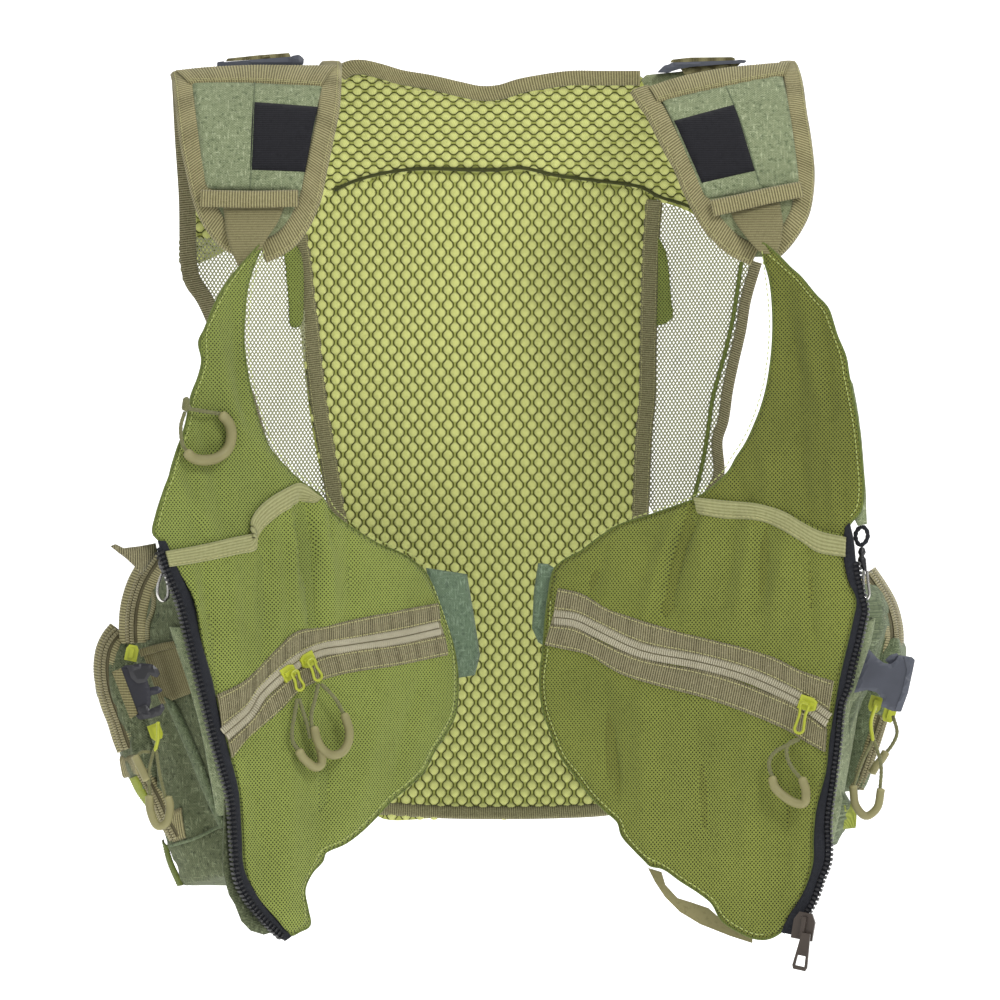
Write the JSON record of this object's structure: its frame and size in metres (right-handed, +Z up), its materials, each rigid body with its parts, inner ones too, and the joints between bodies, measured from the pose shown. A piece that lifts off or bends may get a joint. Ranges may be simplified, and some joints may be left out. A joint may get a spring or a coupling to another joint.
{
  "type": "fishing vest",
  "caption": "Open fly-fishing vest: honeycomb mesh back, padded shoulder straps and two hinged mesh-lined fronts with zipped inner pockets, outer cargo pockets and side-release buckle halves.",
  "frame": {"origin": "middle of the lower hem of the back panel, on the face that lies against the wearer", "axes": "+X to the right of a viewer facing the open vest, +Z up, -Y towards that viewer"},
  "size_m": [0.4617, 0.2135, 0.5206],
  "materials": {
    "spacer_mesh": "honeycomb air mesh over lime foam",
    "side_mesh": "open net, see-through",
    "lining_mesh": "fine perforated mesh",
    "heather_cloth": "heathered woven polyester",
    "pocket_cloth": "heathered woven polyester, coated back",
    "grosgrain": "ribbed grosgrain",
    "webbing": "ribbed nylon webbing",
    "elastic_trim": "ribbed elastic",
    "elastic_black": "ribbed elastic",
    "pad_cloth": "heathered cloth over foam",
    "zip_tape_black": "woven zip tape",
    "zip_teeth_black": "moulded acetal",
    "coil_tan": "nylon coil",
    "slider_lime": "gloss lime enamel",
    "slider_black": "black enamel",
    "cord_olive": "moulded grip over braided cord",
    "buckle_slate": "moulded acetal",
    "steel_wire": "bright wire"
  },
  "bodies": {
    "back": {"back_panel": "spacer_mesh", "back_yoke": "spacer_mesh", "side_wings": "side_mesh", "back_bindings": "grosgrain", "rear_pocket": "pocket_cloth", "net_ring_tab": "webbing", "shoulder_pads": "pad_cloth", "pad_bindings": "grosgrain", "strap_sleeves": "heather_cloth", "elastic_keepers": "elastic_black", "shoulder_webbings": "webbing"},
    "front_left": {"front_panel_left": "lining_mesh", "front_zip_tape_left": "zip_tape_black", "front_teeth_left": "zip_teeth_black", "elastic_trim_left": "elastic_trim", "inner_pocket_left": "lining_mesh", "inner_zip_tapes_left": "grosgrain", "inner_coil_left": "coil_tan", "side_tab_left": "heather_cloth", "cargo_pocket_left": "pocket_cloth", "front_pouch_left": "pocket_cloth", "storm_flap_left": "heather_cloth", "pocket_coils_left": "coil_tan", "waist_webbing_left": "webbing"},
    "front_right": {"front_panel_right": "lining_mesh", "front_zip_tape_right": "zip_tape_black", "front_teeth_right": "zip_teeth_black", "elastic_trim_right": "elastic_trim", "inner_pocket_right": "lining_mesh", "inner_zip_tapes_right": "grosgrain", "inner_coil_right": "coil_tan", "side_tab_right": "heather_cloth", "cargo_pocket_right": "pocket_cloth", "front_pouch_right": "pocket_cloth", "storm_flap_right": "heather_cloth", "pocket_coils_right": "coil_tan", "hem_loop": "webbing"},
    "ladder_lock_left": {"ladder_lock_left": "buckle_slate"},
    "ladder_lock_right": {"ladder_lock_right": "buckle_slate"},
    "net_ring": {"net_ring": "steel_wire"},
    "inner_slider_left_a": {"inner_slider_left_a": "slider_lime"},
    "inner_slider_left_b": {"inner_slider_left_b": "slider_lime"},
    "inner_pull_left_a": {"inner_pull_left_a": "cord_olive"},
    "inner_pull_left_b": {"inner_pull_left_b": "cord_olive"},
    "pocket_slider_left_a": {"pocket_slider_left_a": "slider_lime"},
    "pocket_slider_left_b": {"pocket_slider_left_b": "slider_lime"},
    "pocket_pull_left": {"pocket_pull_left": "cord_olive"},
    "tool_clip_left": {"tool_clip_left": "steel_wire"},
    "chest_pull_left": {"chest_pull_left": "cord_olive"},
    "buckle_socket": {"buckle_socket": "buckle_slate"},
    "inner_slider_right": {"inner_slider_right": "slider_lime"},
    "inner_pull_right": {"inner_pull_right": "cord_olive"},
    "main_slider": {"main_slider": "slider_black"},
    "main_pull": {"main_pull": "slider_black"},
    "pocket_slider_right_a": {"pocket_slider_right_a": "slider_lime"},
    "pocket_slider_right_b": {"pocket_slider_right_b": "slider_lime"},
    "pocket_pull_right": {"pocket_pull_right": "cord_olive"},
    "tool_clip_right": {"tool_clip_right": "steel_wire"},
    "buckle_plug": {"buckle_plug": "buckle_slate"}
  },
  "joints": [
    {"name": "front_left_swing", "type": "hinge", "parent": "back", "child": "front_left", "pos_m": [-0.1278, -0.138, 0.3335], "axis": [-0.1944, 0.0436, 0.98], "range_deg": [0, 98]},
    {"name": "front_right_swing", "type": "hinge", "parent": "back", "child": "front_right", "pos_m": [0.1522, -0.138, 0.3335], "axis": [-0.1883, -0.0546, -0.9806], "range_deg": [0, 110]},
    {"name": "ladder_lock_left_tilt", "type": "hinge", "parent": "back", "child": "ladder_lock_left", "pos_m": [-0.1341, -0.0485, 0.4486], "axis": [-1, 0, 0], "range_deg": [0, 35]},
    {"name": "ladder_lock_right_tilt", "type": "hinge", "parent": "back", "child": "ladder_lock_right", "pos_m": [0.1233, -0.0485, 0.4486], "axis": [-1, 0, 0], "range_deg": [0, 35]},
    {"name": "net_ring_swing", "type": "hinge", "parent": "back", "child": "net_ring", "pos_m": [0.006, 0.0219, 0.324], "axis": [1, 0, 0], "range_deg": [0, 100]},
    {"name": "inner_slider_left_a_travel", "type": "hinge", "parent": "front_left", "child": "inner_slider_left_a", "pos_m": [-0.0396, -0.11471, -0.04518], "axis": [0.529, -0.8466, 0.0593], "range_deg": [0, 15.6]},
    {"name": "inner_slider_left_b_travel", "type": "hinge", "parent": "front_left", "child": "inner_slider_left_b", "pos_m": [-0.0396, -0.11471, -0.04518], "axis": [0.529, -0.8466, 0.0593], "range_deg": [-29.1, 0]},
    {"name": "inner_pull_left_a_lift", "type": "hinge", "parent": "inner_slider_left_a", "child": "inner_pull_left_a", "pos_m": [-0.10995, -0.15416, 0.09178], "axis": [-0.8418, -0.5323, -0.0895], "range_deg": [0, 110]},
    {"name": "inner_pull_left_b_lift", "type": "hinge", "parent": "inner_slider_left_b", "child": "inner_pull_left_b", "pos_m": [-0.09824, -0.14641, 0.09791], "axis": [-0.8297, -0.5306, -0.1736], "range_deg": [0, 110]},
    {"name": "pocket_slider_left_a_travel", "type": "slide", "parent": "front_left", "child": "pocket_slider_left_a", "axis": [0.2002, 0.0217, 0.9795], "range_m": [0, 0.0354]},
    {"name": "pocket_slider_left_b_travel", "type": "slide", "parent": "front_left", "child": "pocket_slider_left_b", "axis": [0.3493, -0.1325, -0.9276], "range_m": [0, 0.0136]},
    {"name": "pocket_pull_left_lift", "type": "hinge", "parent": "pocket_slider_left_b", "child": "pocket_pull_left", "pos_m": [-0.1842, -0.173, 0.05765], "axis": [-0.9999, 0, -0.0157], "range_deg": [0, 20]},
    {"name": "tool_clip_left_swing", "type": "hinge", "parent": "front_left", "child": "tool_clip_left", "pos_m": [-0.18152, -0.17676, 0.15805], "axis": [-0.529, 0.8466, -0.0593], "range_deg": [0, 50]},
    {"name": "chest_pull_left_lift", "type": "hinge", "parent": "front_left", "child": "chest_pull_left", "pos_m": [-0.16781, -0.17342, 0.24196], "axis": [-0.7782, -0.5118, -0.364], "range_deg": [0, 90]},
    {"name": "buckle_socket_flap", "type": "hinge", "parent": "front_left", "child": "buckle_socket", "pos_m": [-0.18761, -0.16835, 0.08638], "axis": [-0.3414, -0.1468, 0.9284], "range_deg": [0, 60]},
    {"name": "inner_slider_right_travel", "type": "slide", "parent": "front_right", "child": "inner_slider_right", "axis": [0.9191, -0.2666, -0.2903], "range_m": [-0.1424, 0]},
    {"name": "inner_pull_right_lift", "type": "hinge", "parent": "inner_slider_right", "child": "inner_pull_right", "pos_m": [0.17487, -0.17286, 0.07495], "axis": [-0.9473, 0.2663, 0.1781], "range_deg": [0, 110]},
    {"name": "main_slider_travel", "type": "slide", "parent": "front_right", "child": "main_slider", "axis": [0.1728, 0.0226, 0.9847], "range_m": [0, 0.1653]},
    {"name": "main_pull_lift", "type": "hinge", "parent": "main_slider", "child": "main_pull", "pos_m": [0.17441, -0.18261, -0.04975], "axis": [-0.9472, 0.2663, 0.1785], "range_deg": [0, 110]},
    {"name": "pocket_slider_right_a_travel", "type": "slide", "parent": "front_right", "child": "pocket_slider_right_a", "axis": [-0.2809, 0.0078, -0.9597], "range_m": [0, 0.0226]},
    {"name": "pocket_slider_right_b_travel", "type": "slide", "parent": "front_right", "child": "pocket_slider_right_b", "axis": [-0.2809, 0.0078, -0.9597], "range_m": [0, 0.0196]},
    {"name": "pocket_pull_right_lift", "type": "hinge", "parent": "pocket_slider_right_a", "child": "pocket_pull_right", "pos_m": [0.214, -0.1585, 0.07054], "axis": [-0.998, 0, 0.0626], "range_deg": [0, 14]},
    {"name": "tool_clip_right_swing", "type": "hinge", "parent": "front_right", "child": "tool_clip_right", "pos_m": [0.20752, -0.15835, 0.16558], "axis": [-0.2582, -0.9637, 0.0675], "range_deg": [0, 50]},
    {"name": "buckle_plug_flap", "type": "hinge", "parent": "front_right", "child": "buckle_plug", "pos_m": [0.20303, -0.15423, 0.08876], "axis": [-0.0175, -0.0652, -0.9977], "range_deg": [0, 20]}
  ]
}
